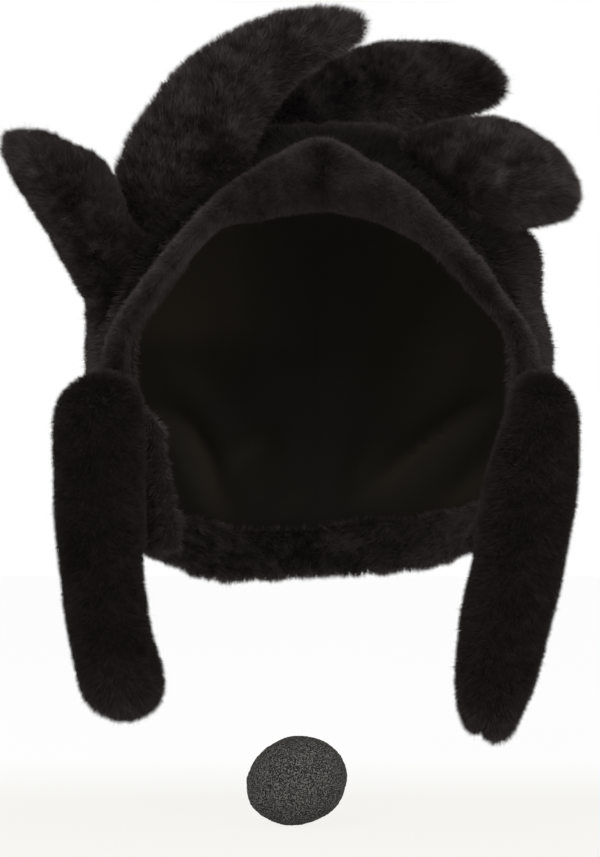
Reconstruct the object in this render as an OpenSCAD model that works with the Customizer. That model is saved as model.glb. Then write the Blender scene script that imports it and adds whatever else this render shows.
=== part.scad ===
// Plush costume hat: a two-panel lined hood with a turned-up brim, stuffed tufts along its top,
// stuffed ears that hang at the temples, an elastic neck edge and a loose sponge nose.
// +Z is up, the face opening looks along -Y, and the origin is under the crown at the neck edge.

/* [Crown] */
// Half width of the crown at its widest, over the pile
crown_half_width = 109; // [103:1:115]
// Height of the crown's widest level above the neck edge
crown_wide_height = 90; // [84:1:96]
// Rise of the crown above its widest level
crown_rise = 108; // [100:1:116]
// Set of each panel's turning axis past the centre seam, which sharpens the ridge
ridge_set = 18; // [12:1:22]
// Fullness of the crown's profile: 2 is an ellipse, less is more pointed
crown_fullness = 1.8; // [1.7:0.05:2]
// How far the elastic draws the neck edge in
neck_draw_in = 8; // [2:1:14]
// Fall of the neck edge from the face to the back of the neck
neck_fall = 24; // [8:1:30]
// Distance of the face opening in front of the crown's axis
face_reach = 66; // [60:1:70]

/* [Cloth] */
// Thickness of the plush, pile included
plush = 10; // [8:0.5:11]
// Thickness of the plush where it is turned in and pressed flat
turned_plush = 4; // [3:0.5:6]
// Thickness of the lining cloth
lining = 1.6; // [1:0.1:2.5]
// Depth of the plush turned in along the face opening
facing_depth = 22; // [16:1:30]
// Height of the plush turned in along the neck edge
hem_height = 26; // [20:1:34]
// Width of the elastic tape in the hem
elastic_width = 10; // [6:1:14]
// Thickness of the elastic tape
elastic_thickness = 1.2; // [0.8:0.1:1.6]

/* [Brim] */
// Height of the turned-up brim at the centre seam
brim_depth = 31; // [24:1:36]
// Rise of the brim's point above the crown's front edge
brim_stand = 5; // [2:1:9]
// Width of the brim where it ends at the temples
brim_end = 9; // [7:0.5:12]
// Radius of the round tails that carry the ears
tail_r = 10; // [8:0.5:12]
// Drop of the tails below the crown's widest level
tail_drop = 20; // [17:1:24]

/* [Ears] */
// Width of an ear at its fullest
ear_width = 43; // [38:1:48]
// Thickness of an ear at its fullest, from front to back
ear_thickness = 36; // [32:1:40]
// Length of the left ear
left_ear_length = 162; // [140:1:175]
// Length of the right ear
right_ear_length = 170; // [140:1:180]
// Radius of the gathered neck that each ear hangs by
neck_r = 5; // [4:0.25:5.5]

/* [Tufts] */
// Reach of the left tuft's tip along its seam
left_tuft_reach = 62; // [56:1:68]
// Height of the left tuft above its seam
left_tuft_height = 80; // [70:1:88]
// Reach of the tall tuft's tip along its seam
tall_tuft_reach = 153; // [142:1:158]
// Height of the tall tuft above its seam
tall_tuft_height = 45; // [39:1:49]
// Reach of the back tuft's tip along its seam
back_tuft_reach = 115; // [106:1:119]
// Height of the back tuft above its seam
back_tuft_height = 45; // [40:1:49]
// Reach of the right tuft's tip along its seam
right_tuft_reach = 50; // [46:1:55]
// Height of the right tuft above its seam
right_tuft_height = 44; // [39:1:48]
// Thickness of the tufts, from front to back
tuft_thickness = 31; // [27:1:33]
// Radius of the rolled seam that each tuft is sewn on by
root_r = 7; // [6:0.25:7.5]

/* [Nose] */
// Length of the sponge nose
nose_length = 44; // [40:1:50]
// Diameter of the sponge nose across its length
nose_diameter = 39; // [36:1:44]
// Radius of the pocket that goes over the wearer's nose
pocket_r = 9; // [7:0.5:11]
// Depth of the pocket's straight wall
pocket_depth = 16; // [12:1:20]
// Drop of the nose's centre below the neck edge
nose_drop = 103; // [98:1:112]

/* [Hidden] */
$fn = 64;
cloth_gap = 0.2;
joint_gap = 0.35;
limb_plush = 8;
brim_point = 1.4;
brim_arch = 1.75;
profile_steps = 14;
skirt_steps = 5;
brim_overhang = 0.5;
ear_gap = 1.5;
tail_set_out = 3.5;
far = 600;

fur = [0.11, 0.10, 0.09];
dark_cloth = [0.07, 0.06, 0.05];
wadding = [0.85, 0.85, 0.82];
tape = [0.2, 0.2, 0.2];
sponge = [0.27, 0.26, 0.25];

// Crown: a superellipse dome, turned about an axis set past the centre seam
crown_r = crown_half_width + ridge_set;
crown_back = sqrt(pow(crown_r, 2) - pow(ridge_set, 2));
neck_angle = atan(neck_fall / (face_reach + crown_back));
front_half_width = sqrt(pow(crown_r, 2) - pow(face_reach, 2)) - ridge_set;
front_share = norm([face_reach, ridge_set]) / crown_r;
front_peak = crown_wide_height + crown_rise * dome_share(front_share);

// Height share at a radius share, and the other way about: the curve mirrors itself
function dome_share(share) = pow(1 - pow(share, crown_fullness), 1 / crown_fullness);
function dome_point(angle, depth) = [
    (crown_r - depth) * pow(cos(angle), 2 / crown_fullness),
    crown_wide_height + (crown_rise - depth) * pow(sin(angle), 2 / crown_fullness)
];
function skirt_point(fall, depth) = [
    crown_r - depth - neck_draw_in * pow(fall / crown_wide_height, 2),
    crown_wide_height - fall
];
skirt_fall = crown_wide_height + neck_fall * 2;
function crown_profile(depth) = concat(
    [for (i = [0 : skirt_steps - 1]) skirt_point(skirt_fall * (1 - i / skirt_steps), depth)],
    [for (i = [0 : profile_steps]) dome_point(90 * i / profile_steps, depth)]
);
function backwards(list) = [for (i = [len(list) - 1 : -1 : 0]) list[i]];

// A place on the crown, at a share of its rise, beside the centre seam, and the way out from there
function crown_place(side, share, y) = [
    side * (sqrt(pow(crown_r * dome_share(share), 2) - y * y) - ridge_set),
    y,
    crown_wide_height + share * crown_rise
];
function crown_normal(side, share, y) =
    let (r = crown_r * dome_share(share))
    let (steep = crown_r / crown_rise * pow(share * crown_r / r, crown_fullness - 1))
    let (out = [side * sqrt(r * r - y * y) / r, y / r, steep])
    out / norm(out);

module crown_layer(depth, thick) {
    for (side = [-1, 1])
        intersection() {
            translate([-side * ridge_set, 0, 0])
                rotate_extrude()
                    polygon(concat(crown_profile(depth), backwards(crown_profile(depth + thick))));
            translate([side < 0 ? -far : 0, -face_reach, -far / 2])
                cube(far);
        }
}

module side_of_seam(side) {
    intersection() {
        children();
        translate([side < 0 ? -far : 0, -far / 2, -far / 2])
            cube(far);
    }
}

module above_neck(lift) {
    translate([0, -face_reach, lift])
        rotate([-neck_angle, 0, 0])
            translate([-far / 2, -far / 2, 0])
                cube(far);
}

module behind_face(depth) {
    translate([-far / 2, depth - face_reach, -far / 2])
        cube(far);
}

module crown_panel(side) {
    color(fur)
        difference() {
            side_of_seam(side)
                intersection() {
                    crown_layer(0, plush);
                    above_neck(0);
                }
            for (place = tuft_places)
                if (place[0] != -side)
                    tuft_groove(place);
        }
}

module crown_left() { crown_panel(-1); }
module crown_right() { crown_panel(1); }

// Lining: starts behind the turned-in plush and above the hem
module lining_panel(side) {
    color(dark_cloth)
        side_of_seam(side)
            intersection() {
                crown_layer(plush + cloth_gap, lining);
                above_neck(hem_height + cloth_gap);
                behind_face(facing_depth + cloth_gap);
            }
}

module lining_left() { lining_panel(-1); }
module lining_right() { lining_panel(1); }

// Facing: the plush turned in along the face opening
module facing_panel(side) {
    color(fur)
        side_of_seam(side)
            difference() {
                intersection() {
                    crown_layer(plush + cloth_gap, turned_plush);
                    above_neck(0);
                }
                behind_face(facing_depth);
            }
}

module facing_left() { facing_panel(-1); }
module facing_right() { facing_panel(1); }

// Brim: a pointed band in front of the crown's edge, with a round tail at each temple
brim_w = front_half_width + brim_overhang;
brim_rise = front_peak + brim_stand - crown_wide_height;
tail_x = brim_w - brim_end / 2 + tail_set_out;
tail_z = crown_wide_height - tail_drop;
brim_front = face_reach + plush;

function arch_point(angle, half_width, rise, power) = [
    half_width * pow(cos(angle), 2 / power),
    crown_wide_height + rise * pow(sin(angle), 2 / power)
];

module brim_half(side) {
    outer = [for (i = [0 : profile_steps])
        arch_point(90 * i / profile_steps, brim_w, brim_rise, brim_point)];
    inner = [for (i = [0 : profile_steps])
        arch_point(90 * i / profile_steps, brim_w - brim_end, brim_rise - brim_depth, brim_arch)];
    color(fur)
        mirror([side < 0 ? 1 : 0, 0, 0])
            translate([0, -face_reach, 0])
                rotate([90, 0, 0])
                    linear_extrude(plush)
                        union() {
                            polygon(concat(outer, backwards(inner)));
                            translate([brim_w - brim_end, tail_z])
                                square([brim_end, tail_drop]);
                            translate([tail_x, tail_z])
                                circle(tail_r);
                        }
}

module brim_left() { brim_half(-1); }
module brim_right() { brim_half(1); }

// Neck hem: the plush turned in along the neck edge, with the elastic between it and the crown
module neck_band(depth, thick, low, high) {
    difference() {
        intersection() {
            crown_layer(depth, thick);
            above_neck(low);
            behind_face(facing_depth + cloth_gap);
        }
        above_neck(high);
    }
}

module neck_hem() {
    color(fur)
        neck_band(plush + elastic_thickness + 2 * cloth_gap, turned_plush, 0, hem_height);
}

module neck_elastic() {
    middle = hem_height / 2;
    color(tape)
        neck_band(plush + cloth_gap, elastic_thickness,
            middle - elastic_width / 2, middle + elastic_width / 2);
}

// Stuffed limbs: each is swept between two edge curves that lie in the plane of its frame.
// A frame is [origin, along, out, through], and a limb is [frame, first edge, second edge, thickness,
// root share, tip share, round start, round end]
limb_rings = 12;
limb_sides = 12;
half_side = 0.5;
limb_cap = 7;
limb_fullest = 0.45;
core_round = 0.18;
least_share = 0.05;
least_half = 1;

function unit(v) = v / norm(v);
function make_frame(origin, along, out) = [origin, along, out, cross(out, along)];
function curve(p, t) =
    pow(1 - t, 3) * p[0] + 3 * t * pow(1 - t, 2) * p[1] + 3 * t * t * (1 - t) * p[2] + pow(t, 3) * p[3];
function swell(t, root, tip) = t < limb_fullest
    ? root + (1 - root) * sin(90 * t / limb_fullest)
    : tip + (1 - tip) * cos(90 * (t - limb_fullest) / (1 - limb_fullest));
function end_round(gap, reach) = gap >= reach ? 1 : sqrt(1 - pow(1 - gap / reach, 2));

// A section is its centre and its two half axes
function section(limb, t, depth, ends) =
    let (frame = limb[0], first = curve(limb[1], t), second = curve(limb[2], t))
    let (middle = (first + second) / 2, half = (second - first) / 2)
    let (across = half * max(least_share, 1 - depth / norm(half)) * ends)
    let (through = max(least_half, limb[3] / 2 * swell(t, limb[4], limb[5]) - depth) * ends)
    [
        frame[0] + middle[0] * frame[1] + middle[1] * frame[2],
        across[0] * frame[1] + across[1] * frame[2],
        through * frame[3]
    ];
function ring(part, from, to) = [for (k = [from : to])
    part[0] + cos(360 * k / limb_sides) * part[1] + sin(360 * k / limb_sides) * part[2]];
function stations(from, to, first_cap) = [for (i = [0 : limb_rings])
    from + (to - from) * (1 - cos(first_cap + (180 - first_cap - limb_cap) * i / limb_rings)) / 2];

module skin(rings) {
    n = len(rings[0]);
    last = (len(rings) - 1) * n;
    walls = [for (i = [0 : n : last - n], k = [0 : n - 1])
        let (a = i + k, b = i + (k + 1) % n)
        each [[a, b + n, b], [a, a + n, b + n]]];
    caps = [[for (k = [0 : n - 1]) k], [for (k = [n - 1 : -1 : 0]) last + k]];
    polyhedron([for (r = rings) each r], concat(walls, caps));
}

// The hollow under the plush, turned half a side so that no edge of it lies in the seam's plane
module limb_core(limb, core, depth) {
    skin([for (t = stations(core[0], core[1], limb_cap))
        ring(section(limb, t, depth, end_round(t - core[0], core_round) * end_round(core[1] - t, core_round)),
            half_side, limb_sides - half_side)]);
}

// One of a limb's two plush panels, which meet in a seam round its middle plane: front is -1, back is 1
module limb_panel(limb, core, side) {
    start = side < 0 ? limb_sides / 2 : 0;
    color(fur)
        difference() {
            skin([for (t = stations(0, 1, limb[6] > 0 ? limb_cap : 0))
                ring(section(limb, t, 0, end_round(t, limb[6]) * end_round(1 - t, limb[7])),
                    start, start + limb_sides / 2)]);
            limb_core(limb, core, limb_plush);
            children();
        }
}

module limb_filling(limb, core) {
    color(wadding)
        limb_core(limb, core, limb_plush + cloth_gap);
}

// Ears: each hangs by a gathered neck in front of a brim tail
ear_core = [0.055, 0.94];
ear_y = -(brim_front + ear_gap + ear_thickness / 2);
ear_top = 11;
ear_set_out = 8.5;
ear_root_share = 0.9;
ear_tip_share = 0.8;
ear_round = 0.11;
function neck_place(side) = [side * tail_x, -(brim_front + joint_gap + neck_r), tail_z];
function scaled(shares, wide, long) = [for (p = shares) [p[0] * wide, p[1] * long]];
function ear_limb(side, length, first, second) = [
    make_frame([side * (tail_x + ear_set_out), ear_y, tail_z + ear_top], [-1, 0, 0], [0, 0, -1]),
    scaled(first, ear_width, length), scaled(second, ear_width, length),
    ear_thickness, ear_root_share, ear_tip_share, ear_round, ear_round
];
left_ear = ear_limb(-1, left_ear_length,
    [[-0.46, 0], [-0.52, 0.4], [-0.40, 0.7], [-0.74, 0.97]],
    [[0.34, 0.03], [0.56, 0.3], [0.44, 0.7], [0.06, 0.97]]);
right_ear = ear_limb(1, right_ear_length,
    [[-0.34, 0.03], [-0.48, 0.35], [-0.14, 0.68], [0.28, 1]],
    [[0.42, 0], [0.46, 0.3], [1.1, 0.62], [0.80, 1]]);

module ear_neck(side) {
    color(fur)
        translate(neck_place(side))
            sphere(neck_r);
}

module ear_socket(side) {
    translate(neck_place(side))
        sphere(neck_r + joint_gap);
}

module left_ear_neck() { ear_neck(-1); }
module left_ear_front() { limb_panel(left_ear, ear_core, -1); }
module left_ear_back() { limb_panel(left_ear, ear_core, 1) ear_socket(-1); }
module left_ear_filling() { limb_filling(left_ear, ear_core); }
module right_ear_neck() { ear_neck(1); }
module right_ear_front() { limb_panel(right_ear, ear_core, -1); }
module right_ear_back() { limb_panel(right_ear, ear_core, 1) ear_socket(1); }
module right_ear_filling() { limb_filling(right_ear, ear_core); }

// Tufts: each stands on a rolled seam that turns in a groove of the crown's plush.
// A place is [side, share of the crown's rise and y at the seam's first end, then at its second end],
// and side 0 lies across the centre seam
tuft_core = [0.16, 0.86];
tuft_round = 0.22;
root_lift = 1.5;
left_tuft_setback = 16;
left_tuft_slant = 4;
tall_tuft_setback = 46;
tall_tuft_slant = 2;
back_tuft_setback = 92;
right_tuft_setback = 42;
function tuft_place(side, first_share, second_share, setback, slant) =
    [side, first_share, setback - face_reach, second_share, setback + slant - face_reach];
left_tuft_place = tuft_place(-1, 0.075, 0.46, left_tuft_setback, left_tuft_slant);
tall_tuft_place = tuft_place(-1, 0.463, 0.86, tall_tuft_setback, tall_tuft_slant);
back_tuft_place = tuft_place(0, 0.9, 0.9, back_tuft_setback, 0);
right_tuft_place = tuft_place(1, 0.694, 0.463, right_tuft_setback, 0);
tuft_places = [left_tuft_place, tall_tuft_place, back_tuft_place, right_tuft_place];

function ridge_share(y) = dome_share(norm([ridge_set, y]) / crown_r);
function seam_first(place) = crown_place(place[0] == 0 ? -1 : place[0], place[1], place[2]);
function seam_second(place) = crown_place(place[0] == 0 ? 1 : place[0], place[3], place[4]);
function seam_length(place) = norm(seam_second(place) - seam_first(place));
function tuft_frame(place) =
    let (y = (place[2] + place[4]) / 2)
    let (share = place[0] == 0 ? ridge_share(y) : (place[1] + place[3]) / 2)
    let (first = seam_first(place), second = seam_second(place), along = unit(second - first))
    let (normal = crown_normal(place[0], share, y), out = unit(normal - (normal * along) * along))
    let (bulge = (crown_place(place[0], share, y) - first) * out)
    make_frame(first + (bulge + root_lift) * out, along, out);
function tuft_limb(place, reach, height, first, second, tip) =
    let (base = seam_length(place))
    [
        tuft_frame(place), scaled(first, reach, height),
        [for (p = second) [base + p[0] * (reach - base), p[1] * height]],
        tuft_thickness, 2 * root_r / tuft_thickness, tip, 0, tuft_round
    ];
left_tuft = tuft_limb(left_tuft_place, left_tuft_reach, left_tuft_height,
    [[0, 0], [0.24, 0.2], [0.52, 0.56], [0.87, 0.96]],
    [[0, 0], [1, 0.26], [2.05, 0.55], [1.2, 0.96]], 0.55);
tall_tuft = tuft_limb(tall_tuft_place, tall_tuft_reach, tall_tuft_height,
    [[0, 0], [0.05, 1.07], [0.65, 1.22], [1, 0.4]],
    [[0, 0], [0.28, -0.14], [0.67, -0.14], [0.97, 0]], 0.55);
back_tuft = tuft_limb(back_tuft_place, back_tuft_reach, back_tuft_height,
    [[0, 0], [-0.64, 0.02], [0.5, 1.74], [0.99, 0.66]],
    [[0, 0], [0.2, 0.03], [0.5, 0.06], [0.95, 0.26]], 0.6);
right_tuft = tuft_limb(right_tuft_place, right_tuft_reach, right_tuft_height,
    [[0, 0], [-1.2, -0.24], [-0.2, 1.56], [0.94, 0.77]],
    [[0, 0], [0.12, 0.18], [0.52, 0.34], [0.8, 0.48]], 0.6);

module along_seam(place) {
    frame = tuft_frame(place);
    along = frame[1];
    translate(frame[0])
        rotate([0, acos(along[2]), atan2(along[1], along[0])])
            children();
}

module tuft_groove(place) {
    along_seam(place)
        translate([0, 0, -joint_gap])
            cylinder(h = seam_length(place) + 2 * joint_gap, r = root_r + joint_gap);
}

module tuft_root(place) {
    color(fur)
        along_seam(place)
            cylinder(h = seam_length(place), r = root_r);
}

module root_space(place) {
    along_seam(place)
        translate([0, 0, -far / 2])
            cylinder(h = far, r = root_r + cloth_gap);
}

module tuft_panel(limb, place, side) {
    limb_panel(limb, tuft_core, side)
        root_space(place);
}

module tuft_filling(limb, place) {
    difference() {
        limb_filling(limb, tuft_core);
        root_space(place);
    }
}

module left_tuft_root() { tuft_root(left_tuft_place); }
module left_tuft_front() { tuft_panel(left_tuft, left_tuft_place, -1); }
module left_tuft_back() { tuft_panel(left_tuft, left_tuft_place, 1); }
module left_tuft_filling() { tuft_filling(left_tuft, left_tuft_place); }
module tall_tuft_root() { tuft_root(tall_tuft_place); }
module tall_tuft_front() { tuft_panel(tall_tuft, tall_tuft_place, -1); }
module tall_tuft_back() { tuft_panel(tall_tuft, tall_tuft_place, 1); }
module tall_tuft_filling() { tuft_filling(tall_tuft, tall_tuft_place); }
module back_tuft_root() { tuft_root(back_tuft_place); }
module back_tuft_front() { tuft_panel(back_tuft, back_tuft_place, -1); }
module back_tuft_back() { tuft_panel(back_tuft, back_tuft_place, 1); }
module back_tuft_filling() { tuft_filling(back_tuft, back_tuft_place); }
module right_tuft_root() { tuft_root(right_tuft_place); }
module right_tuft_front() { tuft_panel(right_tuft, right_tuft_place, -1); }
module right_tuft_back() { tuft_panel(right_tuft, right_tuft_place, 1); }
module right_tuft_filling() { tuft_filling(right_tuft, right_tuft_place); }

// Sponge nose: an egg of foam, its long axis tilted, with a pocket in its back
nose_set_left = 10;
nose_set_front = 100;
nose_place = [-nose_set_left, -nose_set_front, -nose_drop];
nose_tilt = 18;
nose_back = nose_diameter / 2;
nose_wall = sqrt(pow(nose_back, 2) - pow(pocket_r, 2));
nose_steps = 24;

module sponge_nose() {
    half = [for (i = [0 : nose_steps])
        let (a = 180 * i / nose_steps - 90)
        [nose_diameter / 2 * cos(a), nose_length / 2 * sin(a)]];
    color(sponge)
        translate(nose_place)
            difference() {
                rotate([0, 90 - nose_tilt, 0])
                    rotate_extrude()
                        polygon(half);
                translate([0, nose_wall - pocket_depth, 0])
                    rotate([-90, 0, 0])
                        cylinder(h = far, r = pocket_r);
            }
}

crown_left();
crown_right();
lining_left();
lining_right();
facing_left();
facing_right();
brim_left();
brim_right();
neck_hem();
neck_elastic();
left_ear_neck();
left_ear_front();
left_ear_back();
left_ear_filling();
right_ear_neck();
right_ear_front();
right_ear_back();
right_ear_filling();
left_tuft_root();
left_tuft_front();
left_tuft_back();
left_tuft_filling();
tall_tuft_root();
tall_tuft_front();
tall_tuft_back();
tall_tuft_filling();
back_tuft_root();
back_tuft_front();
back_tuft_back();
back_tuft_filling();
right_tuft_root();
right_tuft_front();
right_tuft_back();
right_tuft_filling();
sponge_nose();
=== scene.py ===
import bpy
import math
import numpy as np
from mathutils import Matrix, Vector, kdtree


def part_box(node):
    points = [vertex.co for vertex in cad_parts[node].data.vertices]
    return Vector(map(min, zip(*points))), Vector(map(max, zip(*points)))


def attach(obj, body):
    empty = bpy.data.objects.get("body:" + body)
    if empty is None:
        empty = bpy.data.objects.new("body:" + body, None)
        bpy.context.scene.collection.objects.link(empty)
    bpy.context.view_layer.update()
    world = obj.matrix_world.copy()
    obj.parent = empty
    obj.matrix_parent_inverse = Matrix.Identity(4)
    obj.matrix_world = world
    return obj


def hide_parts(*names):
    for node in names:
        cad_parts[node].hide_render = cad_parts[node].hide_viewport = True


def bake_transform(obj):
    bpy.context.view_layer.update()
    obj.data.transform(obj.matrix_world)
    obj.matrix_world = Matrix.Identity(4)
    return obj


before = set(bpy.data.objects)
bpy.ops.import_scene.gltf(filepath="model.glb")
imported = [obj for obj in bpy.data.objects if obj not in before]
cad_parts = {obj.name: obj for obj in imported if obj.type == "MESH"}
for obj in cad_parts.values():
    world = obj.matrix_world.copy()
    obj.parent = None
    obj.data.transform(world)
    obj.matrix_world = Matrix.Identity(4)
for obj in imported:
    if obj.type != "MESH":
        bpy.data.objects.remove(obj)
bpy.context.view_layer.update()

# The room: white paper on the floor under the hat, a white room behind it, one large soft lamp above
# the camera on the left, a weaker one on the right and one from above. The camera stands level with
# the middle of the hat, 1.7 m in front of it.
scene = bpy.context.scene
scene.view_settings.view_transform = "Standard"
bpy.ops.object.select_all(action="DESELECT")

view_width, view_distance = 0.27, 1.63
camera_data = bpy.data.cameras.new("camera")
camera_data.sensor_fit = "HORIZONTAL"
camera_data.sensor_width = 36
camera_data.lens = camera_data.sensor_width * view_distance / view_width
camera = bpy.data.objects.new("camera", camera_data)
scene.collection.objects.link(camera)
camera.location = (-0.009, -1.7, 0.0524)
camera.rotation_euler = (math.radians(90), 0, 0)
scene.camera = camera


class Value:
    """A socket of a material. Arithmetic on it adds Math nodes, and node() adds any other node."""

    def __init__(self, tree, socket=None):
        self.tree = tree
        self.socket = socket

    def node(self, kind, settings, sockets, out=0):
        made = self.tree.nodes.new(kind)
        for name, setting in settings.items():
            if name == "stops":
                ramp = made.color_ramp.elements
                while len(ramp) < len(setting):
                    ramp.new(0.5)
                for element, (place, colour) in zip(ramp, setting):
                    element.position = place
                    element.color = (*colour, 1)
            else:
                setattr(made, name, setting)
        for name, given in sockets.items():
            if isinstance(given, Value):
                given.feed(made, name)
            else:
                made.inputs[name].default_value = given
        return Value(self.tree, made.outputs[out])

    def feed(self, shader, name):
        self.tree.links.new(self.socket, shader.inputs[name])

    def math(self, operation, first, second):
        return self.node("ShaderNodeMath", {"operation": operation}, {0: first, 1: second})

    def __add__(self, other):
        return self.math("ADD", self, other)

    __radd__ = __add__

    def __sub__(self, other):
        return self.math("SUBTRACT", self, other)

    def __rsub__(self, other):
        return self.math("SUBTRACT", other, self)

    def __mul__(self, other):
        return self.math("MULTIPLY", self, other)

    __rmul__ = __mul__


def start_material(name):
    material = bpy.data.materials.new(name)
    material.use_nodes = True
    return material, material.node_tree.nodes["Principled BSDF"], Value(material.node_tree)


def seen(value):
    """1 for what the camera sees, straight, in a reflection or through glass, and 0 for light on the hat."""
    camera_ray, glossy_ray, through_ray = (
        value.node("ShaderNodeLightPath", {}, {}, "Is " + kind + " Ray")
        for kind in ("Camera", "Glossy", "Transmission"))
    return value.math("MAXIMUM", value.math("MAXIMUM", camera_ray, glossy_ray), through_ray)


floor_gap = 0.0004
bpy.ops.mesh.primitive_plane_add(size=1, location=(0, 0.4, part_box("sponge_nose")[0][2] - floor_gap))
sheet_of_paper = bpy.context.object
sheet_of_paper.name = "paper_floor"
sheet_of_paper.scale = (6, 4.4, 1)
bpy.ops.object.transform_apply(location=True, rotation=False, scale=True)
paper, paper_bsdf, paper_value = start_material("paper")
paper_bsdf.inputs["Base Color"].default_value = (0.9, 0.895, 0.885, 1)
paper_bsdf.inputs["Roughness"].default_value = 0.9
paper_bsdf.inputs["Specular IOR Level"].default_value = 0.1
# The paper is cream in a band under the hat, and turns white behind that band and in front of it
paper_place = paper_value.node("ShaderNodeTexCoord", {}, {}, "Object")
paper_depth = paper_value.node("ShaderNodeSeparateXYZ", {}, {0: paper_place}, "Y")
paper_glow = paper_value.node(
    "ShaderNodeValToRGB", {"stops": [(0.0, (0.932, 0.924, 0.89)), (1.0, (1.0, 1.0, 1.0))]},
    {"Fac": paper_value.math("MAXIMUM", paper_depth * 4.8 - 0.05, paper_depth * -5.0 - 1.5)})
paper_light = paper_value.node("ShaderNodeEmission", {}, {"Color": paper_glow, "Strength": 1.0})
paper_shadow = Value(paper.node_tree, paper_bsdf.outputs[0])
paper_mix = paper_value.node(
    "ShaderNodeMixShader", {}, {0: seen(paper_value) * 0.94, 1: paper_shadow, 2: paper_light})
paper_mix.feed(paper.node_tree.nodes["Material Output"], "Surface")
sheet_of_paper.data.materials.append(paper)

room_light = 0.55
world = bpy.data.worlds.new("room")
scene.world = world
world.use_nodes = True
background = world.node_tree.nodes["Background"]
background.inputs["Color"].default_value = (1, 1, 1, 1)
(seen(Value(world.node_tree)) * (1 - room_light) + room_light).feed(background, "Strength")

lamps_aim = Vector((0, 0, 0.08))
for name, place, size, power in (
    ("key_lamp", (-0.6, -1.75, 0.95), 1.1, 20),
    ("fill_lamp", (1.0, -1.6, 0.3), 1.0, 13),
    ("top_lamp", (0.1, 0.2, 1.6), 0.9, 4),
):
    lamp_data = bpy.data.lights.new(name, "AREA")
    lamp_data.size = size
    lamp_data.energy = power
    lamp = bpy.data.objects.new(name, lamp_data)
    scene.collection.objects.link(lamp)
    lamp.location = place
    lamp.rotation_euler = (lamps_aim - Vector(place)).to_track_quat("-Z", "Y").to_euler()


# The ears: two stuffed plush tubes that hang at the temples, sewn from a front and a back panel,
# turned out through the top and filled with wadding. The pile runs down to the tip.
def select_only(piece):
    bpy.ops.object.select_all(action="DESELECT")
    piece.select_set(True)
    bpy.context.view_layer.objects.active = piece


def cad_copy(name, nodes):
    """One new object that holds copies of the named nodes' meshes, merged."""
    bpy.ops.object.select_all(action="DESELECT")
    copies = []
    for node in nodes:
        copy = bpy.data.objects.new(name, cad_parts[node].data.copy())
        scene.collection.objects.link(copy)
        copy.select_set(True)
        copies.append(copy)
    bpy.context.view_layer.objects.active = copies[0]
    if len(copies) > 1:
        bpy.ops.object.join()
    made = bpy.context.object
    made.name = name
    made.data.name = name
    made.data.materials.clear()
    bpy.ops.object.mode_set(mode="EDIT")
    bpy.ops.mesh.select_all(action="SELECT")
    bpy.ops.mesh.remove_doubles(threshold=0.00001)
    bpy.ops.object.mode_set(mode="OBJECT")
    return made


def apply_modifier(piece, kind, **settings):
    select_only(piece)
    bpy.ops.object.modifier_add(type=kind)
    modifier = piece.modifiers[-1]
    for name, setting in settings.items():
        setattr(modifier, name, setting)
    bpy.ops.object.modifier_apply(modifier=modifier.name)


def points_of(piece):
    places = np.empty(len(piece.data.vertices) * 3)
    piece.data.vertices.foreach_get("co", places)
    return places.reshape(-1, 3)


def set_points(piece, places):
    piece.data.vertices.foreach_set("co", places.astype(np.float32).ravel())
    piece.data.update()


def lengths(rows):
    return np.maximum(np.linalg.norm(rows, axis=1, keepdims=True), 1e-9)


def lumps(name, size):
    texture = bpy.data.textures.get(name) or bpy.data.textures.new(name, "CLOUDS")
    texture.noise_scale = size
    return texture


def soft_skin(name, nodes, voxel, inset, lump):
    """The cloth under the pile: the nodes' outer shape, remeshed, smoothed, drawn in and a little lumpy."""
    skin = cad_copy(name, nodes)
    apply_modifier(skin, "REMESH", mode="VOXEL", voxel_size=voxel)
    apply_modifier(skin, "SMOOTH", factor=0.5, iterations=4)
    apply_modifier(skin, "DISPLACE", strength=-inset, mid_level=0)
    apply_modifier(skin, "DISPLACE", strength=lump, mid_level=0.5, texture=lumps("wadding_lumps", 0.022))
    return skin


def stuff(skin, cap):
    """Fills a skin: the cloth swells under pressure, no point by more than the cap."""
    slack = points_of(skin)
    select_only(skin)
    bpy.ops.object.modifier_add(type="CLOTH")
    cloth = skin.modifiers[-1]
    cloth.settings.use_pressure = True
    cloth.settings.uniform_pressure_force = 4
    cloth.settings.effector_weights.gravity = 0
    for step in range(1, 21):
        scene.frame_set(step)
    bpy.ops.object.modifier_apply(modifier=cloth.name)
    scene.frame_set(1)
    moved = points_of(skin) - slack
    set_points(skin, slack + moved * np.minimum(1, cap / lengths(moved)))


def ease(skin, *moves):
    """Presses a skin into shape: each move has a place, a reach and a shift, in mm."""
    places = points_of(skin)
    start = places * 1000
    for centre, reach, shift in moves:
        near = np.exp(-(((start - centre) / reach) ** 2).sum(axis=1))
        places += near[:, None] * np.array(shift) / 1000
    set_points(skin, places)


def finish_skin(skin, material):
    apply_modifier(skin, "SUBSURF", levels=1, render_levels=1)
    bpy.ops.object.shade_smooth()
    skin.data.materials.append(material)


def noise(value, scale, detail, roughness=0.5):
    """Noise over a piece's own coordinates."""
    place = value.node("ShaderNodeTexCoord", {}, {}, "Object")
    sockets = {"Vector": place, "Scale": scale, "Detail": detail, "Roughness": roughness}
    return value.node("ShaderNodeTexNoise", {}, sockets, "Fac")


backing, backing_bsdf, backing_value = start_material("plush_backing")
backing_knit = noise(backing_value, scale=900.0, detail=2.0)
backing_patch = noise(backing_value, scale=45.0, detail=3.0)
backing_colour = backing_value.node(
    "ShaderNodeValToRGB", {"stops": [(0.25, (0.009, 0.0076, 0.007)), (0.8, (0.02, 0.0168, 0.0154))]},
    {"Fac": backing_knit * 0.5 + backing_patch * 0.5})
backing_colour.feed(backing_bsdf, "Base Color")
backing_bsdf.inputs["Roughness"].default_value = 0.95
backing_bsdf.inputs["Specular IOR Level"].default_value = 0.1

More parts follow.
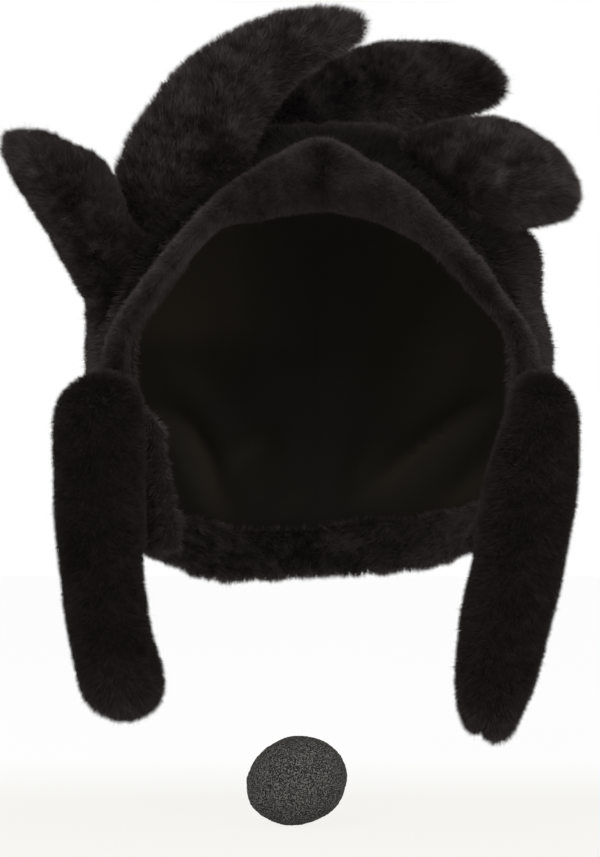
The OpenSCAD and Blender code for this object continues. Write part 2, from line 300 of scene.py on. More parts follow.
# A hair of the pile reads its own map: across the map is its shade, and along it root to tip
pile_material, pile_bsdf, pile_value = start_material("black_pile")
pile_map = pile_value.node("ShaderNodeUVMap", {"uv_map": "OFBake"}, {})
pile_shade = pile_value.node("ShaderNodeSeparateXYZ", {}, {0: pile_map}, "X")
pile_along = pile_value.node("ShaderNodeSeparateXYZ", {}, {0: pile_map}, "Y")
pile_stops = [(0.0, (0.0083, 0.0067, 0.0051)), (0.5, (0.034, 0.0278, 0.0255)), (1.0, (0.12, 0.0985, 0.1))]
pile_tone = pile_value.node("ShaderNodeValToRGB", {"stops": pile_stops}, {"Fac": pile_shade})
# Painted shade: each hair is darker towards its root, where the pile shades itself
root_shade_stops = [(0.0, (0.6, 0.6, 0.6)), (0.55, (0.88, 0.88, 0.88)), (1.0, (1.0, 1.0, 1.0))]
pile_root_shade = pile_value.node("ShaderNodeValToRGB", {"stops": root_shade_stops}, {"Fac": pile_along})
pile_colour = pile_value.node(
    "ShaderNodeMix", {"data_type": "RGBA", "blend_type": "MULTIPLY"}, {0: 1.0, 6: pile_tone, 7: pile_root_shade}, 2)
pile_colour.feed(pile_bsdf, "Base Color")
pile_bsdf.inputs["Roughness"].default_value = 0.7
pile_bsdf.inputs["Specular IOR Level"].default_value = 0.12


def waves(chance, size):
    """A smooth field over space, about one in strength, whose patches are about this size."""
    count = 14
    ways = chance.normal(size=(count, 3))
    ways *= (2 * math.pi / size) * chance.uniform(0.6, 1.5, (count, 1)) / lengths(ways)
    starts = chance.uniform(0, 2 * math.pi, count)
    return lambda places: np.sin(places @ ways.T + starts).sum(axis=1) / math.sqrt(count / 2)


hairs_to_a_lock = 26
root_depth = 0.0004
map_columns = 64


def grow_pile(name, skin, hairs, length, width, lean, flow, nap_depth, tone, seed, where=None, longer=None):
    """The pile of a skin as fine tapered hairs.

    Flow gives the way of its nap, lean how far it lies over, nap_depth how uneven its lie and its painted
    sheen are, and tone how light. Where tells which faces carry it, and longer how much longer than the rest
    a hair is.
    """
    chance = np.random.default_rng(seed)
    mesh = skin.data
    mesh.calc_loop_triangles()
    corners = np.empty(len(mesh.loop_triangles) * 3, np.int32)
    mesh.loop_triangles.foreach_get("vertices", corners)
    corners = corners.reshape(-1, 3)
    spots = points_of(skin)
    outs = np.empty(len(mesh.vertices) * 3)
    mesh.vertices.foreach_get("normal", outs)
    outs = outs.reshape(-1, 3)
    first, second, third = (spots[corners[:, i]] for i in range(3))
    facing = np.cross(second - first, third - first)
    share = np.linalg.norm(facing, axis=1)
    if where is not None:
        share = share * where((first + second + third) / 3, facing / lengths(facing))
    pick = chance.choice(len(corners), hairs, p=share / share.sum())
    from_first = np.sqrt(chance.random((hairs, 1)))
    to_third = chance.random((hairs, 1))
    weights = (1 - from_first, from_first * (1 - to_third), from_first * to_third)
    root = sum(weight * spots[corners[pick, i]] for i, weight in enumerate(weights))
    out = sum(weight * outs[corners[pick, i]] for i, weight in enumerate(weights))
    out /= lengths(out)

    # The nap lies along the flow, swirls in patches and stands up or lies flat in patches
    swirl = waves(chance, size=0.034)
    brushed_nap_and_sheen = waves(chance, size=0.020)
    fine = waves(chance, size=0.006)
    nap = flow(root)
    nap = nap - (nap * out).sum(axis=1, keepdims=True) * out
    nap /= lengths(nap)
    turn = nap_depth * (0.35 * swirl(root) + 0.3 * fine(root)) + 0.5 * chance.normal(size=hairs)
    turn = turn[:, None]
    nap = np.cos(turn) * nap + np.sin(turn) * np.cross(out, nap)
    patch = nap_depth * (0.1 * brushed_nap_and_sheen(root) + 0.1 * fine(root))
    tilt = np.clip(lean + patch + 0.2 * chance.normal(size=hairs), 0.05, 1.25)[:, None]
    long = length * chance.uniform(0.7, 1.1, (hairs, 1))
    stray = chance.random((hairs, 1)) < 0.03
    long *= np.where(stray, chance.uniform(1.1, 1.5, (hairs, 1)), 1)
    if longer is not None:
        long *= longer(root)[:, None]
    tip = root + long * (np.cos(tilt) * out + np.sin(tilt) * nap)

    # Neighbouring hairs cling together at their tips, in locks
    leaders = chance.choice(hairs, hairs // hairs_to_a_lock, replace=False)
    tree = kdtree.KDTree(len(leaders))
    for i, leader in enumerate(leaders):
        tree.insert(root[leader], i)
    tree.balance()
    lock = leaders[[tree.find(place)[1] for place in root]]
    tip += chance.uniform(0.0, 0.3, (hairs, 1)) * (tip[lock] - tip)

    across = np.cross(tip - root, chance.normal(size=(hairs, 3)))
    across *= width * chance.uniform(0.7, 1.2, (hairs, 1)) / lengths(across) / 2
    foot = root_depth * out
    places = np.stack([root - across - foot, root + across - foot, tip], axis=1)
    pile = bpy.data.meshes.new(name)
    pile.vertices.add(hairs * 3)
    pile.vertices.foreach_set("co", places.astype(np.float32).ravel())
    pile.loops.add(hairs * 3)
    pile.loops.foreach_set("vertex_index", np.arange(hairs * 3, dtype=np.int32))
    pile.polygons.add(hairs)
    pile.polygons.foreach_set("loop_start", np.arange(hairs, dtype=np.int32) * 3)
    pile.update(calc_edges=True)

    # Across the map: a hair's shade, with painted sheen in patches where the nap would catch the light, a
    # tone by lock and its own, and a few hairs painted pale as glints
    shade = 0.06 * brushed_nap_and_sheen(root) + 0.06 * fine(root) + 0.08 * chance.normal(size=hairs)[lock]
    shade = tone(root) + nap_depth * shade + 0.1 * chance.normal(size=hairs)
    pale = chance.random(hairs) > 0.94
    shade = shade + 0.25 * pale
    column = np.clip((shade * map_columns).astype(int), 0, map_columns - 1)
    row = np.zeros((hairs, 3, 2))
    row[:, :, 0] = (column[:, None] + (0.1, 0.9, 0.5)) / map_columns
    row[:, :, 1] = (0.02, 0.02, 0.98)
    pile.uv_layers.new(name="OFBake").data.foreach_set("uv", row.astype(np.float32).ravel())
    pile.materials.append(pile_material)
    piece = bpy.data.objects.new(name, pile)
    scene.collection.objects.link(piece)
    return piece


def straight(way):
    return lambda places: np.broadcast_to(np.array(way, float), places.shape)


ear_shape = {
    "left": (
        ((-116, -90, 60), (14, 40, 20), (-1.8, 0, 1.2)), ((-70, -90, -14), (12, 40, 16), (-3, 0, 0)),
        ((-64, -90, -50), (12, 40, 12), (6.5, 0, 0)), ((-72, -90, -74), (10, 40, 8), (0, 0, 1.5)),
        ((-102, -90, -66), (12, 40, 12), (-1.5, 0, -1.5))),
    "right": (
        ((76, -90, 62), (14, 40, 16), (5, 0, 0)), ((64, -90, -6), (10, 40, 12), (1.6, 0, 0)),
        ((62, -90, -62), (10, 40, 20), (-1.5, 0, 0)), ((94, -90, -40), (10, 40, 18), (-0.4, 0, 0)),
        ((90, -90, -76), (8, 40, 14), (-2, 0, 0)), ((112, -90, 70), (12, 40, 14), (1.2, 0, 1)),
        ((76, -90, -90), (18, 40, 8), (0, 0, 2)), ((72, -90, -90), (3.5, 40, 9), (0, 0, 8)))}
for side, out_x, shade, seed in (("left", -1, 0.2, 11), ("right", 1, 0.25, 12)):
    body = side + "_ear"
    nodes = (body + "_front", body + "_back", body + "_filling")
    ear = soft_skin(body + "_skin", nodes, voxel=0.0035, inset=0.0018, lump=0.0025)
    stuff(ear, cap=0.002)
    ease(ear, *ear_shape[side])
    finish_skin(ear, backing)
    # The pile is lighter and longer towards the tip
    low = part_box(nodes[0])[0][2]
    hair = grow_pile(
        body + "_pile", ear, hairs=150000, length=0.0042, width=0.00025, lean=0.42,
        flow=straight((-0.15 * out_x, 0, -1)), nap_depth=0.4, seed=seed,
        tone=lambda places: shade + 0.22 * np.clip((low + 0.035 - places[:, 2]) / 0.03, 0, 1),
        longer=lambda places: 1 + 0.5 * np.clip((low + 0.02 - places[:, 2]) / 0.02, 0, 1))
    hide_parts(*nodes)
    for piece in (ear, hair):
        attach(piece, body)

# The tufts: four stuffed plush fins along the top, each sewn on by a rolled seam. The left one leans
# to the left and the others sweep to the right, with the pile combed from the seam to the tip.
# The crown that they stand on is a dome, each half turned about an axis set past the centre seam.
crown_r = 0.127
crown_set = 0.018
wide_level = 0.09
crown_rise = 0.108
fullness = 1.8


def over_crown(places):
    """How far places stand above the outside of the crown."""
    reach = np.hypot(np.abs(places[:, 0]) + crown_set, places[:, 1]) / crown_r
    return places[:, 2] - wide_level - crown_rise * np.maximum(1 - reach ** fullness, 0) ** (1 / fullness)


def drape(skin, *moves):
    """Spreads the foot of a tuft forward over the crown, and stops it where it meets the crown."""
    start = points_of(skin)
    ease(skin, *moves)
    shift = points_of(skin) - start
    allowed = np.minimum(over_crown(start), 0) - 0.0005
    share = np.zeros(len(start))
    for step in np.linspace(0.1, 1, 10):
        share = np.where(over_crown(start + step * shift) > allowed, step, share)
    set_points(skin, start + share[:, None] * shift)
    apply_modifier(skin, "SMOOTH", factor=0.5, iterations=3)


tuft_shape = {
    "left": (
        ((-130, -50, 186), (24, 40, 10), (0, 0, -2.5)), ((-125, -50, 130), (14, 40, 20), (1, 0, 0.6)),
        ((-98, -50, 168), (16, 40, 14), (2, 0, 4)), ((-114, -50, 122), (14, 40, 22), (-1.5, 0, 0)),
        ((-142, -50, 166), (10, 40, 14), (-1.3, 0, 0))),
    "tall": (
        ((10, -20, 246), (26, 40, 14), (1, 0, -3)), ((18, -20, 234), (10, 40, 10), (6, 0, -5)),
        ((-40, -10, 192), (14, 40, 12), (3, 0, -7)), ((-90, -20, 172), (12, 40, 16), (-3.5, 0, 0)),
        ((-50, -20, 228), (30, 40, 26), (-1, 0, 1))),
    "back": (
        ((80, 30, 230), (18, 40, 12), (0, 0, 3.5)), ((42, 26, 194), (20, 40, 10), (0, 0, -9)),
        ((-34, 26, 196), (14, 40, 10), (0, 0, -8)), ((14, 26, 236), (14, 40, 8), (2, 0, -2))),
    "right": (
        ((100, -24, 182), (22, 40, 14), (-1, 0, -2)), ((100, -24, 142), (18, 40, 10), (-1, 0, 2.5)),
        ((50, -24, 188), (16, 40, 18), (-19, 0, -4)), ((116, -24, 168), (10, 40, 14), (1.5, 0, 0)),
        ((104, -24, 178), (24, 40, 14), (1.2, 0, 2.2)), ((98, -24, 146), (18, 40, 10), (0, 0, 1.5)))}
tuft_foot = {
    "left": (),
    "tall": (((-66, -26, 164), (38, 26, 24), (5, -26, -15)), ((-38, -18, 188), (20, 22, 18), (4, -22, -12))),
    "back": (),
    "right": (((66, -30, 166), (34, 24, 22), (-6, -20, -13)),)}
# A point on each tuft's seam, and the way that the tuft rises from it
for side, way, shade, foot_painted_shading, lean, seed in (
    ("left", (-0.62, -0.05, 0.78), 0.49, -0.15, 0.75, 21),
    ("tall", (0.78, 0, 0.62), 0.64, -0.38, 0.5, 22),
    ("back", (0.95, 0, 0.3), 0.52, 0.4, 0.45, 23),
    ("right", (0.92, 0, 0.1), 0.57, -0.28, 0.55, 24),
):
    body = side + "_tuft"
    nodes = tuple(body + "_" + part for part in ("root", "front", "back", "filling"))
    tuft = soft_skin(body + "_skin", nodes, voxel=0.0035, inset=0.0016, lump=0.003)
    stuff(tuft, cap=0.002)
    ease(tuft, *tuft_shape[side])
    drape(tuft, *tuft_foot[side])
    finish_skin(tuft, backing)
    # Near the foot, where the tuft meets the crown, painted shade darkens the pile of the left, tall and
    # right tufts, and painted light lightens the back tuft's shaded foot. The pile is longer at the tip
    way = np.array(way)
    far = np.percentile(points_of(tuft) @ way, 99)
    hair = grow_pile(
        body + "_pile", tuft, hairs=130000, length=0.0052, width=0.00026, lean=lean,
        flow=straight(way), nap_depth=0.85, seed=seed,
        tone=lambda places: shade + foot_painted_shading * np.clip(1 - over_crown(places) / 0.035, 0, 1),
        longer=lambda places: 1 + 0.35 * np.clip((places @ way - far + 0.02) / 0.02, 0, 1))
    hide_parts(*nodes)
    # The foot stays on the crown: the tuft and its pile are fixed in place
    for piece in (tuft, hair):
        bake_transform(piece)

# The crown: two plush panels joined by a seam from the brow over the top to the neck. The cloth lies
# under a pile that runs down and back.
crown_seam_depth, crown_seam_half = 0.0022, 0.0035
crown_middle = 0.08
crown_axis_level = 0.075
# How far the neck edge is lifted, in mm: higher beside the ears, lowest left of the middle
neck_x = (-85, -74, -64, -46, -25, 0, 30, 55, 66, 74)
neck_lift = (7.5, 4, -0.5, -3.8, -1, 1.2, 1.4, 3, 6.5, 8)
# How far the face opening is pushed outwards behind each ear, by height, in mm
left_level, left_push = (50, 60, 70, 85, 100, 115, 130), (0, 2, 5, 6, 4, 1.5, 0)
right_level, right_push = (0, 10, 30, 60, 85, 100, 115, 130), (0, 2, 4, 6, 6, 4, 1.5, 0)
# Where the opening is pushed up over the left brow, how far around that, and by how much
brow_x, brow_z, brow_reach, brow_push = -0.042, 0.132, 0.018, (-0.006, 0, 0.007)


def lift_neck(places):
    """Lifts the neck edge as it hangs."""
    lift = np.interp(places[:, 0] * 1000, neck_x, neck_lift)
    share = np.clip((0.03 - places[:, 2]) / 0.03, 0, 1) * np.clip((places[:, 1] + 0.055) / 0.03, 0, 1)
    places[:, 2] += lift * share / 1000
    return places


def open_temples(places):
    """Pushes the face opening outwards behind the ears, and up over the left brow."""
    left = np.interp(places[:, 2] * 1000, left_level, left_push)
    right = np.interp(places[:, 2] * 1000, right_level, right_push)
    share = np.clip((-0.03 - places[:, 1]) / 0.03, 0, 1)
    beside = (places[:, 0] - brow_x) / brow_reach
    above = (places[:, 2] - brow_z) / brow_reach
    brow = share * np.exp(-beside ** 2 - above ** 2)
    push = np.where(places[:, 0] < 0, -left, right) * (np.abs(places[:, 0]) > 0.03)
    places[:, 0] += push * share / 1000
    return places + brow[:, None] * brow_push


crown = soft_skin("crown_whole", ("crown_left", "crown_right"), voxel=0.0035, inset=0.0034, lump=0.002)
places = points_of(crown)
from_middle = places - (0, 0, crown_middle)
from_middle[:, 0] = 0
from_middle[:, 2] = np.maximum(from_middle[:, 2], 0)
seam_dip = crown_seam_depth * np.exp(-(places[:, 0] / crown_seam_half) ** 2)
places -= seam_dip[:, None] * from_middle / lengths(from_middle)
set_points(crown, open_temples(lift_neck(places)))
ease(crown, ((-92, 0, 130), (24, 60, 26), (-6, 0, 3)), ((94, 0, 138), (24, 60, 18), (9, 0, 5)),
     ((106, 0, 110), (14, 60, 10), (-2, 0, 0)), ((-33, 10, 188), (16, 34, 30), (0, 0, 7)),
     ((38, 4, 182), (22, 34, 30), (0, 0, 9.5)))
crown.data.materials.append(backing)
bpy.ops.object.shade_smooth()


def cut_at_seam(whole, left_name, right_name):
    """Two pieces of one skin, cut in the plane of the centre seam."""
    halves = []
    for name, outer in ((left_name, True), (right_name, False)):
        half = bpy.data.objects.new(name, whole.data.copy())
        scene.collection.objects.link(half)
        select_only(half)
        bpy.ops.object.mode_set(mode="EDIT")
        bpy.ops.mesh.select_all(action="SELECT")
        bpy.ops.mesh.bisect(plane_co=(0, 0, 0), plane_no=(1, 0, 0), use_fill=True,
                            clear_outer=outer, clear_inner=not outer)
        bpy.ops.object.mode_set(mode="OBJECT")
        halves.append(half)
    bpy.data.objects.remove(whole)
    return halves


def off_the_cut(places, outs):
    return (np.abs(places[:, 0]) > 0.0008) | (np.abs(outs[:, 0]) < 0.95)


def crown_outside(places, outs):
    axis = np.zeros(places.shape)
    axis[:, 0] = -np.sign(places[:, 0]) * crown_set
    axis[:, 2] = crown_axis_level
    away = places - axis
    away[:, 2] = np.maximum(away[:, 2], 0)
    away /= lengths(away)
    outward = ((outs * away).sum(axis=1) > 0.2) | ((outs[:, 2] < -0.5) & (places[:, 2] < 0.01))
    front = (outs[:, 1] < -0.6) & (places[:, 1] < -0.055)
    return (front | outward) & off_the_cut(places, outs)


def down_and_back(places):
    aside = np.sign(places[:, 0]) * (0.3 + 0.9 * np.exp(-(places[:, 0] / 0.008) ** 2))
    return np.stack([aside, np.full(len(places), 0.45), np.full(len(places), -1.0)], axis=1)


def crown_tone(places):
    """Darker in front at the top, where the tufts and the brim shade the pile."""
    front = np.clip((0.01 - places[:, 1]) / 0.04, 0, 1) * np.clip((places[:, 2] - 0.1) / 0.03, 0, 1)
    return 0.54 - 0.56 * front * np.clip((0.105 - np.abs(places[:, 0])) / 0.03, 0, 1)


crown_halves = cut_at_seam(crown, "crown_left_skin", "crown_right_skin")
for half, side, seed in zip(crown_halves, ("left", "right"), (31, 32)):
    hair = grow_pile(
        "crown_" + side + "_pile", half, hairs=160000, length=0.0054, width=0.00038, lean=0.4,
        flow=down_and_back, nap_depth=0.45, tone=crown_tone, seed=seed, where=crown_outside)
    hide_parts("crown_" + side)
    for piece in (half, hair):
        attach(piece, "hat")

# The brim: a pointed plush band turned up round the face, seamed over the brow, with a round tail at
# each temple. It is folded double, so its edges are plump.
brim_seam_depth, brim_seam_half = 0.002, 0.0025
brim_middle = 0.06
brim = soft_skin("brim_whole", ("brim_left", "brim_right"), voxel=0.0025, inset=0.0018, lump=0.002)
stuff(brim, cap=0.003)
places = points_of(brim)
places[:, 1] += brim_seam_depth * np.exp(-(places[:, 0] / brim_seam_half) ** 2)
set_points(brim, open_temples(places))
ease(brim, ((72, -75, 107), (11, 40, 19), (-6.5, 0, -2)), ((80, -75, 128), (11, 40, 16), (5.5, 0, 3)),
     ((-62, -72, 148), (14, 40, 14), (2, 0, -3)))
brim.data.materials.append(backing)
bpy.ops.object.shade_smooth()


def along_brim(places):
    down = -0.2 - 0.5 * np.abs(places[:, 0]) / 0.09
    return np.stack([np.sign(places[:, 0]) * 0.55, np.full(len(places), 0.0), down], axis=1)


def round_brim(spots):
    """Where spots lie round the face: the turn up from the temple, and the reach from the middle."""
    aside, up = np.abs(spots[:, 0]), spots[:, 2] - brim_middle
    return np.arctan2(up, aside), np.hypot(aside, up)


turns, reaches = round_brim(places)
edge_turns = np.linspace(0, math.pi / 2, 24)
near_edges = [reaches[np.abs(turns - turn) < 0.06] for turn in edge_turns]
inner_edge = np.array([near.min() for near in near_edges])
outer_edge = np.array([near.max() for near in near_edges])


def brim_tone(spots):
    """Lighter towards the outer edge, a painted highlight where light falls on the rim, with a dark patch on
    the left of the brow.
    """
    turn, reach = round_brim(spots)
    inner, outer = np.interp(turn, edge_turns, inner_edge), np.interp(turn, edge_turns, outer_edge)
    share = np.clip((reach - inner) / (outer - inner), 0, 1)
    dark = np.exp(-((spots[:, 0] + 0.034) / 0.018) ** 2 - ((spots[:, 2] - 0.16) / 0.018) ** 2)
    return 0.38 + 0.22 * np.clip(share * 1.6, 0, 1) - 0.16 * dark


brim_halves = cut_at_seam(brim, "brim_left_skin", "brim_right_skin")
for half, side, seed in zip(brim_halves, ("left", "right"), (41, 42)):
    hair = grow_pile(
        "brim_" + side + "_pile", half, hairs=110000, length=0.005, width=0.00026, lean=0.65,
        flow=along_brim, nap_depth=0.45, tone=brim_tone, seed=seed,
        where=lambda spots, outs: (outs[:, 1] < 0.75) & off_the_cut(spots, outs))
    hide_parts("brim_" + side)
    for piece in (half, hair):
        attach(piece, "hat")


# The facings and the hem: the same plush turned in along the face opening and the neck edge, pressed
# flat, and gathered along the neck by the elastic tape that runs in it.
def gather_hem(hem):
    """Draws the hem in as the elastic does: lumpy all over, with a wavy upper edge."""
    apply_modifier(hem, "DISPLACE", strength=0.004, mid_level=0.5, texture=lumps("hem_gathers", 0.009))
    places = points_of(hem)
    around = np.arctan2(places[:, 1], places[:, 0])
    upper = np.clip((places[:, 2] + places[:, 1] * 0.125 - 0.006) / 0.012, 0, 1)
    places[:, 2] += upper * (0.002 * np.sin(around * 6 + 0.6) + 0.0012 * np.sin(around * 15) - 0.001)
    set_points(hem, lift_neck(places))


def tuck_facing(facing, levels, tucks):
    """Presses a facing outwards behind the ear, by so many mm at some levels."""
    places = points_of(facing)
    tuck = np.interp(places[:, 2] * 1000, levels, tucks)
    places = open_temples(places)
    places[:, 0] += np.sign(places[:, 0]) * tuck / 1000
    set_points(facing, places)


def turned_in(spots, outs):
    toward = -spots * (1, 1, 0)
    inward = (outs * toward / lengths(toward)).sum(axis=1) > 0.1
    return inward | (outs[:, 1] < -0.3) | (outs[:, 2] < -0.5)


def beside_the_knot(places):
    """A pale patch beside the left ear's neck."""
    high, deep = (places[:, 2] - 0.054) / 0.005, (places[:, 1] + 0.066) / 0.01
    return (places[:, 0] < 0) * 0.2 * np.exp(-high ** 2 - deep ** 2)


facing_tuck = {
    "facing_left": ((52, 62, 100, 125), (0, 6, 6, 0)),
    "facing_right": ((-5, 15, 100, 125), (0, 7, 7, 0))}
for name, inset, hairs, way, shade, seed in (
    ("facing_left", -0.0012, 40000, (0, 0.4, -1), 0.47, 51),
    ("facing_right", -0.0012, 40000, (0, 0.4, -1), 0.4, 52),
    # The hem's pile is given a lighter tone, painted light for the shade it lies in deep inside the hat
    ("neck_hem", 0.0004, 110000, (0, -0.3, -1), 0.68, 53),
):
    turned = soft_skin(name + "_skin", (name,), voxel=0.002, inset=inset, lump=0.001)
    if name == "neck_hem":
        gather_hem(turned)
    else:
        tuck_facing(turned, *facing_tuck[name])
    turned.data.materials.append(backing)
    bpy.ops.object.shade_smooth()
    hair = grow_pile(
        name + "_pile", turned, hairs=hairs, length=0.0046, width=0.00028, lean=0.6,
        flow=straight(way), nap_depth=0.6, tone=lambda places: shade + beside_the_knot(places),
        seed=seed, where=turned_in)
    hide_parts(name)
    for piece in (turned, hair):
        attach(piece, "hat")

# The lining: a thin dark knit cut to the same two panels, hung inside the crown from the facing and
# the hem, with a seam down its middle and soft folds towards the neck.
lining_cloth, lining_bsdf, lining_value = start_material("lining_knit")
lining_place = lining_value.node("ShaderNodeTexCoord", {}, {}, "Object")
lining_rib = lining_value.node(
    "ShaderNodeTexWave", {"wave_type": "BANDS", "bands_direction": "X"},
    {"Vector": lining_place, "Scale": 260.0, "Distortion": 1.5, "Detail": 2.0, "Detail Scale": 2.0}, "Fac")
lining_stitch = noise(lining_value, scale=1400.0, detail=1.0)
lining_patch = noise(lining_value, scale=22.0, detail=3.0)
# The ridge attribute holds painted light: the knit painted lighter beside the brim, and a painted highlight
# along each fold's crest
lining_painted_light_value = lining_value.node("ShaderNodeAttribute", {"attribute_name": "ridge"}, {}, "Fac")
lining_colour = lining_value.node(
    "ShaderNodeValToRGB", {"stops": [(0.2, (0.0076, 0.0062, 0.0041)), (1.0, (0.018, 0.0149, 0.0093))]},
    {"Fac": lining_patch * 0.35 + lining_stitch * 0.15 + lining_rib * 0.03 + lining_painted_light_value * 0.55})
lining_colour.feed(lining_bsdf, "Base Color")
lining_bump = lining_value.node(
    "ShaderNodeBump", {},
    {"Strength": 0.25, "Distance": 0.0004, "Height": lining_rib * 0.25 + lining_stitch * 0.6})
lining_bump.feed(lining_bsdf, "Normal")
lining_bsdf.inputs["Roughness"].default_value = 0.75
lining_bsdf.inputs["Specular IOR Level"].default_value = 0.12
# It hangs this far inside the crown, reaches this far forward, falls straight below the widest level
# with its lower edge drawn in, and ends on the slope of the neck edge
under_plush = 0.0112
lining_front = 0.0436
fall_share, fall_depth, fall_draw = 0.35, 0.085, 0.008
neck_slope = math.tan(math.radians(7.135))
neck_front_y, neck_front_level = -0.066, 0.021
hem_overlap = 0.005
knit_thickness = 0.0008
# Soft folds of the lining: height, half width and the route it takes in x from the seam and in z
lining_folds = {
    "left": (
        (0.010, 0.007, ((0.076, 0.06), (0.0675, 0.053), (0.0595, 0.039), (0.0537, 0.024), (0.044, 0.006))),
        (0.0045, 0.0075, ((0.05, 0.031), (0.036, 0.042), (0.024, 0.047))),
        (0.003, 0.012, ((0.078, 0.088), (0.062, 0.08), (0.05, 0.07))),
        (0.0025, 0.005, ((0.02, 0.006), (0.01, 0.018), (0.004, 0.026)))),
    "right": (
        (0.009, 0.007, ((0.084, 0.067), (0.07, 0.054), (0.056, 0.043), (0.036, 0.027), (0.021, 0.017))),
        (0.008, 0.008, ((0.084, 0.036), (0.073, 0.018), (0.06, 0.004))),
        (0.0025, 0.006, ((0.03, 0.04), (0.02, 0.032), (0.012, 0.02))))}
full_fold = 0.01
# Painted light on the knit beside the brim: how light it is painted by distance from the seam, and by height
lining_painted_light = {
    "left": ((0.014, 0.024, 0.033, 0.043), (0.33, 0.4, 0.7, 1.25), (0.06, 0.09, 0.105), (0, 0.3, 1)),
    "right": ((0.025, 0.035, 0.045, 0.064), (0.33, 0.6, 0.85, 1.05), (0.05, 0.066, 0.09), (0, 0.4, 1))}
for side, sign in (("left", -1), ("right", 1)):
    bpy.ops.object.select_all(action="DESELECT")
    bpy.ops.mesh.primitive_grid_add(x_subdivisions=72, y_subdivisions=72, size=1)
    cloth = bpy.context.object
    cloth.name = "lining_" + side + "_cloth"
    across, up = (points_of(cloth)[:, :2] + 0.5).T
    climb = up * (1 + fall_share) - fall_share
    angle = np.radians(90) * np.clip(climb, 0, 1) * 0.985
    fall = np.clip(-climb / fall_share, 0, 1) * fall_depth
    reach = (crown_r - under_plush) * np.cos(angle) ** (2 / fullness) - fall_draw * (fall / wide_level) ** 2
    reach = np.maximum(reach, crown_set + 0.0001)
    level = wide_level - fall + (crown_rise - under_plush) * np.sin(angle) ** (2 / fullness)
    back = np.arccos(np.clip(crown_set / reach, -1, 1))
    front = np.minimum(back, np.arcsin(np.clip(lining_front / reach, -1, 1)))
    around = -front + across * (back + front)
    far_y = reach * np.sin(around)
    far_x = reach * np.cos(around) - crown_set
    lift = np.clip(1 - up / 0.26, 0, 1)
    level += lift * (neck_front_level - (far_y - neck_front_y) * neck_slope - hem_overlap)
    aside, by_aside, height, by_height = lining_painted_light[side]
    light = np.interp(far_x, aside, by_aside) * np.interp(level, height, by_height)
    fold = 0.0016 * np.sin(far_y * 62 + 5 * up + sign) * np.sin(up * 5)
    fold += 0.0012 * np.sin(far_x * 95 - level * 40)
    for high, wide, route in lining_folds[side]:
        ridge = np.zeros(len(up))
        last = len(route) - 1
        for step in np.linspace(0, last, 25):
            ridge_x, ridge_z = (np.interp(step, range(len(route)), values) for values in zip(*route))
            near = np.exp(-((far_x - ridge_x) ** 2 + (level - ridge_z) ** 2) / wide ** 2)
            ridge = np.maximum(ridge, near * math.sin(math.pi * (0.15 + 0.7 * step / last)))
        fold += high * ridge
        # Each fold's crest is also painted lighter, a painted highlight
        light = np.maximum(light, ridge * high / full_fold)
    fold *= np.clip(up / 0.12, 0, 1) * np.clip((1 - up) / 0.15, 0, 1) * np.clip(np.abs(far_x) / 0.02, 0, 1)
    inward = np.stack([-far_x, -far_y, 0 * far_x], axis=1)
    inward /= lengths(inward)
    laid = np.stack([far_x, far_y, level], axis=1) + inward * np.maximum(fold, 0)[:, None]
    laid[:, 0] *= sign
    set_points(cloth, open_temples(lift_neck(laid)))
    painted_light_layer = cloth.data.attributes.new("ridge", "FLOAT", "POINT")
    painted_light_layer.data.foreach_set("value", light.astype(np.float32))
    bpy.ops.object.mode_set(mode="EDIT")
    bpy.ops.mesh.select_all(action="SELECT")
    bpy.ops.mesh.remove_doubles(threshold=0.00005)
    bpy.ops.mesh.normals_make_consistent(inside=False)
    bpy.ops.object.mode_set(mode="OBJECT")
    apply_modifier(cloth, "SOLIDIFY", thickness=knit_thickness, offset=0)
    bpy.ops.object.shade_smooth_by_angle(angle=math.radians(40))
    cloth.data.materials.append(lining_cloth)
    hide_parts("lining_" + side)
    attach(cloth, "hat")

# The elastic tape: woven black elastic that runs round the neck in the hem, between the turned-in
# plush and the crown, and draws the neck edge in. The solid has its shape, so it only gets a weave.
tape, tape_bsdf, tape_value = start_material("elastic_weave")
tape_place = tape_value.node("ShaderNodeTexCoord", {}, {}, "Object")
tape_rib = tape_value.node(
    "ShaderNodeTexWave", {"wave_type": "BANDS", "bands_direction": "Z"},
    {"Vector": tape_place, "Scale": 300.0, "Distortion": 0.4}, "Fac")
tape_colour = tape_value.node(
    "ShaderNodeValToRGB", {"stops": [(0.0, (0.012, 0.012, 0.012)), (1.0, (0.035, 0.034, 0.033))]},
    {"Fac": tape_rib})
tape_colour.feed(tape_bsdf, "Base Color")
tape_bsdf.inputs["Roughness"].default_value = 0.8
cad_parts["neck_elastic"].data.materials.clear()
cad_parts["neck_elastic"].data.materials.append(tape)

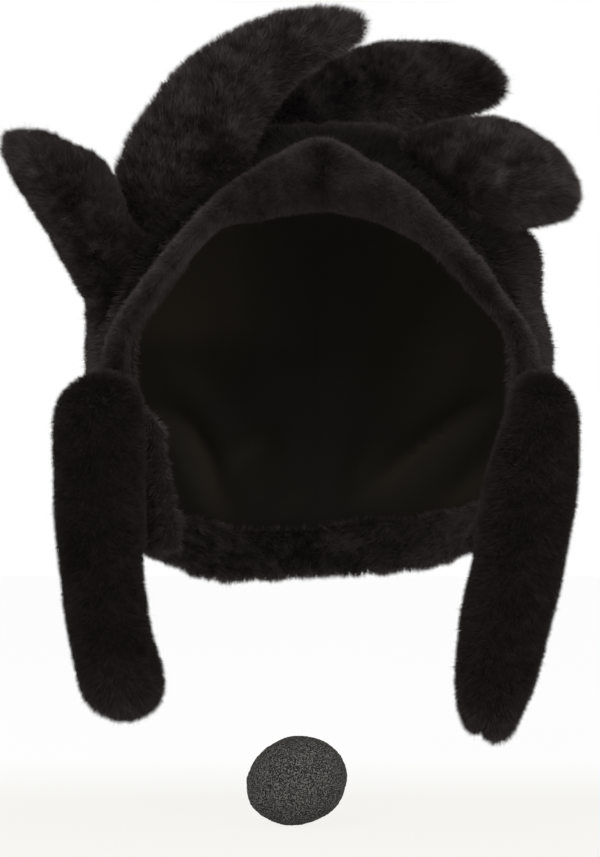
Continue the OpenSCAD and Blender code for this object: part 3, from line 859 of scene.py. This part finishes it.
# The ear necks: the gathered tops of the ears, drawn into a small knot of plush backing in pleats,
# which is sewn to the brim's tail.
pleat_count, pleat_depth = 9, 0.06
for side in ("left", "right"):
    neck = side + "_ear_neck"
    knot = cad_copy(neck + "_knot", (neck,))
    apply_modifier(knot, "REMESH", mode="VOXEL", voxel_size=0.0006)
    apply_modifier(knot, "DISPLACE", strength=-0.0008, mid_level=0)
    places = points_of(knot)
    centre = places.mean(axis=0)
    spoke = places - centre
    pleat = np.sin(pleat_count * np.arctan2(spoke[:, 2], spoke[:, 0]))
    set_points(knot, centre + spoke * (1 + pleat_depth * pleat[:, None]))
    bpy.ops.object.shade_smooth()
    knot.data.materials.append(backing)
    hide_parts(neck)
    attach(knot, neck)

# The sponge nose: an egg of charcoal open-cell foam, loose, with a pocket in its back. Its cut
# cells make the surface grainy.
nose = cad_copy("sponge_nose_foam", ("sponge_nose",))
apply_modifier(nose, "REMESH", mode="VOXEL", voxel_size=0.0007)
apply_modifier(nose, "SMOOTH", factor=0.5, iterations=2)
apply_modifier(nose, "DISPLACE", strength=0.0007, mid_level=0.6, texture=lumps("foam_cells", 0.0011))
apply_modifier(nose, "DISPLACE", strength=0.0012, mid_level=0.5, texture=lumps("foam_lumps", 0.009))
ease(nose, ((-28, -100, -108), (14, 40, 16), (-1.2, 0, -0.6)))
bpy.ops.object.shade_smooth()
foam, foam_bsdf, foam_value = start_material("charcoal_foam")
foam_place = foam_value.node("ShaderNodeTexCoord", {}, {}, "Object")
foam_cell = foam_value.node("ShaderNodeTexVoronoi", {}, {"Vector": foam_place, "Scale": 1500.0}, "Distance")
foam_grain = noise(foam_value, scale=1750.0, detail=3.0, roughness=0.8)
foam_stops = [(0.41, (0.0012, 0.0012, 0.001)), (0.51, (0.011, 0.0107, 0.0094)), (0.6, (0.112, 0.108, 0.098))]
foam_colour = foam_value.node(
    "ShaderNodeValToRGB", {"stops": foam_stops}, {"Fac": foam_grain * 0.8 + foam_cell * 0.25})
foam_colour.feed(foam_bsdf, "Base Color")
foam_bump = foam_value.node(
    "ShaderNodeBump", {},
    {"Strength": 0.6, "Distance": 0.0005, "Height": foam_grain * 0.6 + foam_cell * 0.4})
foam_bump.feed(foam_bsdf, "Normal")
foam_bsdf.inputs["Roughness"].default_value = 0.9
foam_bsdf.inputs["Specular IOR Level"].default_value = 0.2
nose.data.materials.append(foam)
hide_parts("sponge_nose")
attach(nose, "nose")
